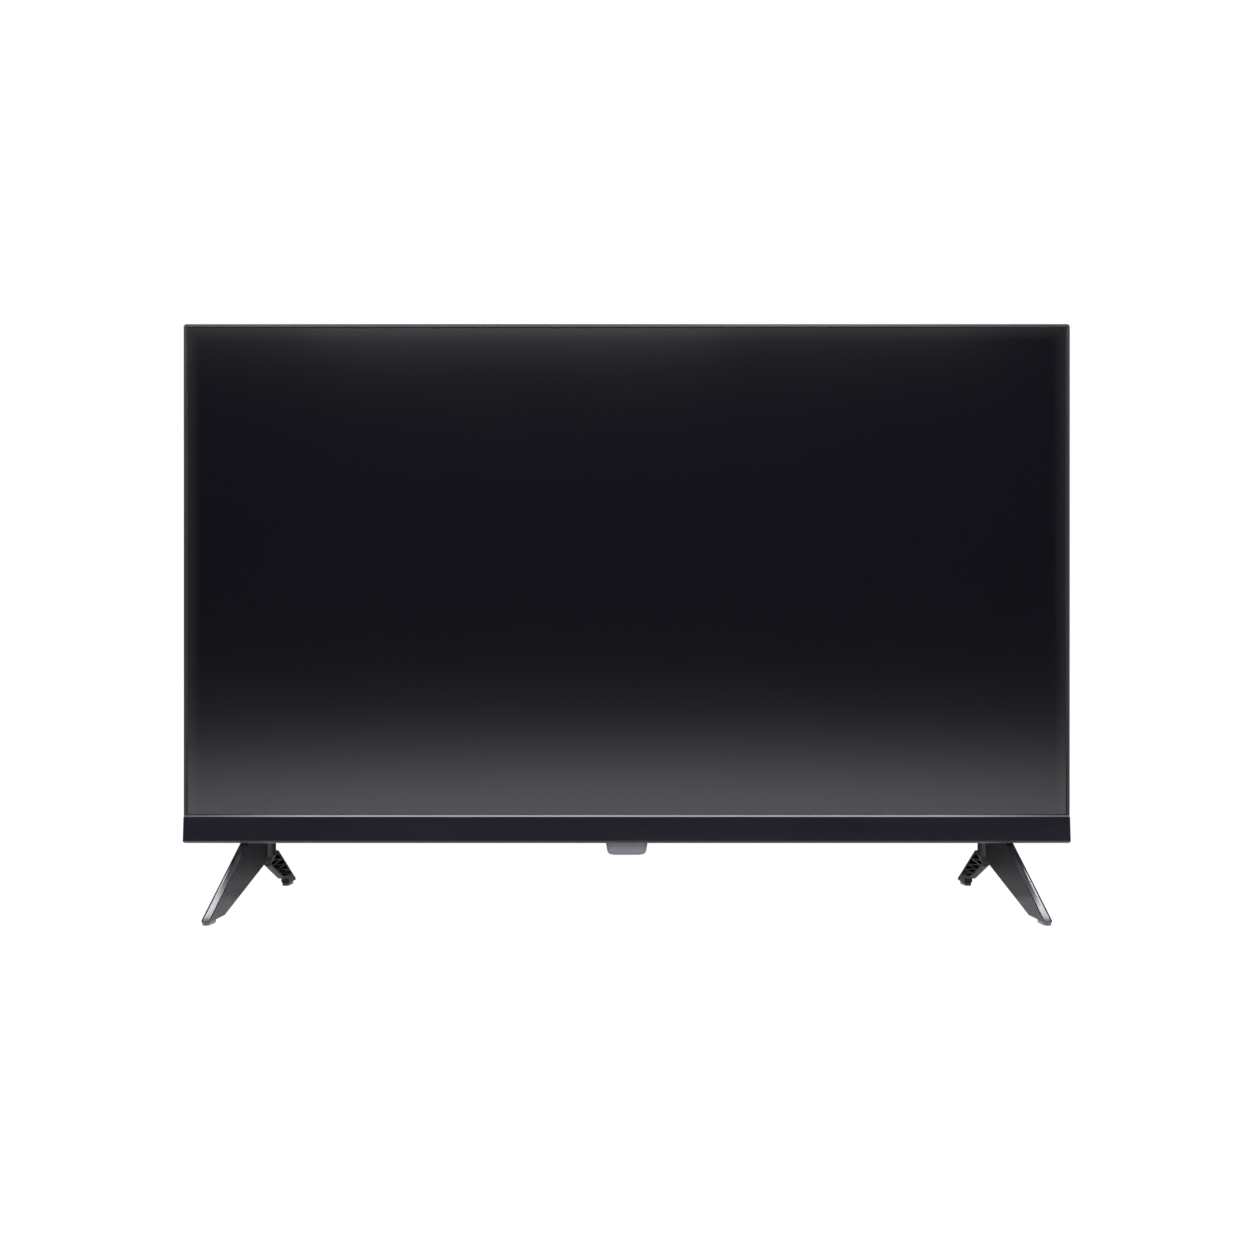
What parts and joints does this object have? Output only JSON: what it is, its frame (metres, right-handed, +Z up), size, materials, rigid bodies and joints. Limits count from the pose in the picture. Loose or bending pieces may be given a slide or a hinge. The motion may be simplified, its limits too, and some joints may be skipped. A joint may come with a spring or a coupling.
{
  "type": "flat screen television",
  "caption": "Slim flat screen television with a narrow frame, a glossy lower trim and two splayed V-shaped legs.",
  "frame": {"origin": "on the floor, under the middle of the stand's footprint and of the cabinet's width", "axes": "+X to the viewer's right, +Y to the back of the set, +Z up"},
  "size_m": [0.722, 0.1746, 0.4748],
  "materials": {
    "frame_satin": "satin black moulding",
    "trim_gloss": "piano-gloss black moulding",
    "bright_metal": "bright silver strip",
    "screen_glass": "dark glass with an anti-glare face",
    "black_foam": "foam tape",
    "clear_film": "prism film",
    "white_film": "white diffusing plastic",
    "bar_aluminium": "aluminium-backed strip board",
    "lens_clear": "moulded acrylic",
    "zinc_steel": "zinc-coated sheet steel",
    "green_board": "solder-masked board",
    "blue_board": "solder-masked board",
    "tan_board": "paper-phenolic board",
    "amber_flex": "polyimide ribbon",
    "cable_grey": "flat cable",
    "chip_black": "epoxy chip package",
    "sink_aluminium": "extruded aluminium",
    "tin_shield": "tinned steel shell",
    "barrel_brass": "plated brass barrel",
    "socket_black": "moulded socket",
    "winding_yellow": "taped winding on a ferrite core",
    "can_dark": "sleeved can",
    "lead_red": "insulated leads with plugs",
    "speaker_black": "moulded speaker box",
    "cone_paper": "pressed paper cone",
    "lead_black": "insulated lead",
    "smoked_window": "smoked translucent moulding",
    "key_satin": "satin key cap",
    "cover_grain": "fine-grained black moulding",
    "black_screw": "black zinc screw",
    "leg_satin": "semi-gloss black moulding",
    "pad_rubber": "soft grey rubber"
  },
  "bodies": {
    "cabinet": {"screen_frame": "frame_satin", "lower_trim": "trim_gloss", "bright_strip": "bright_metal", "lcd_panel": "screen_glass", "panel_tape": "black_foam", "middle_frame": "frame_satin", "prism_film": "clear_film", "diffuser_film": "white_film", "diffuser_plate": "white_film", "reflector_sheet": "white_film", "light_bars": "bar_aluminium", "light_lenses": "lens_clear", "back_plate": "zinc_steel", "source_board": "green_board", "flex_ribbons": "amber_flex", "display_cable": "cable_grey", "main_board": "green_board", "main_chips": "chip_black", "heat_sink": "sink_aluminium", "tuner_can": "tin_shield", "antenna_socket": "barrel_brass", "network_socket": "tin_shield", "video_sockets": "tin_shield", "usb_socket": "tin_shield", "audio_jacks": "socket_black", "radio_module": "blue_board", "power_board": "tan_board", "transformer": "winding_yellow", "capacitors": "can_dark", "power_inlet": "socket_black", "inlet_pins": "tin_shield", "power_harness": "lead_red", "speaker_left": "speaker_black", "speaker_right": "speaker_black", "speaker_gaskets": "black_foam", "speaker_leads": "lead_black", "receiver_window": "smoked_window", "receiver_board": "green_board", "receiver_eye": "chip_black", "key_switch": "socket_black", "rear_cover": "cover_grain", "rear_screws": "black_screw", "wall_mount_posts": "zinc_steel", "leg_left": "leg_satin", "leg_right": "leg_satin", "leg_screws": "black_screw", "foot_pads": "pad_rubber"},
    "power_key": {"power_key": "key_satin"},
    "cone_left": {"cone_left": "cone_paper"},
    "cone_right": {"cone_right": "cone_paper"}
  },
  "joints": [
    {"name": "power_key_press", "type": "slide", "parent": "cabinet", "child": "power_key", "axis": [0, 0, 1], "range_m": [0, 0.0008], "stiffness_N_per_m": 600, "springref_m": -0.0005},
    {"name": "cone_left_stroke", "type": "slide", "parent": "cabinet", "child": "cone_left", "axis": [0, 0, 1], "range_m": [-0.001, 0.001], "stiffness_N_per_m": 700},
    {"name": "cone_right_stroke", "type": "slide", "parent": "cabinet", "child": "cone_right", "axis": [0, 0, 1], "range_m": [-0.001, 0.001], "stiffness_N_per_m": 700}
  ]
}
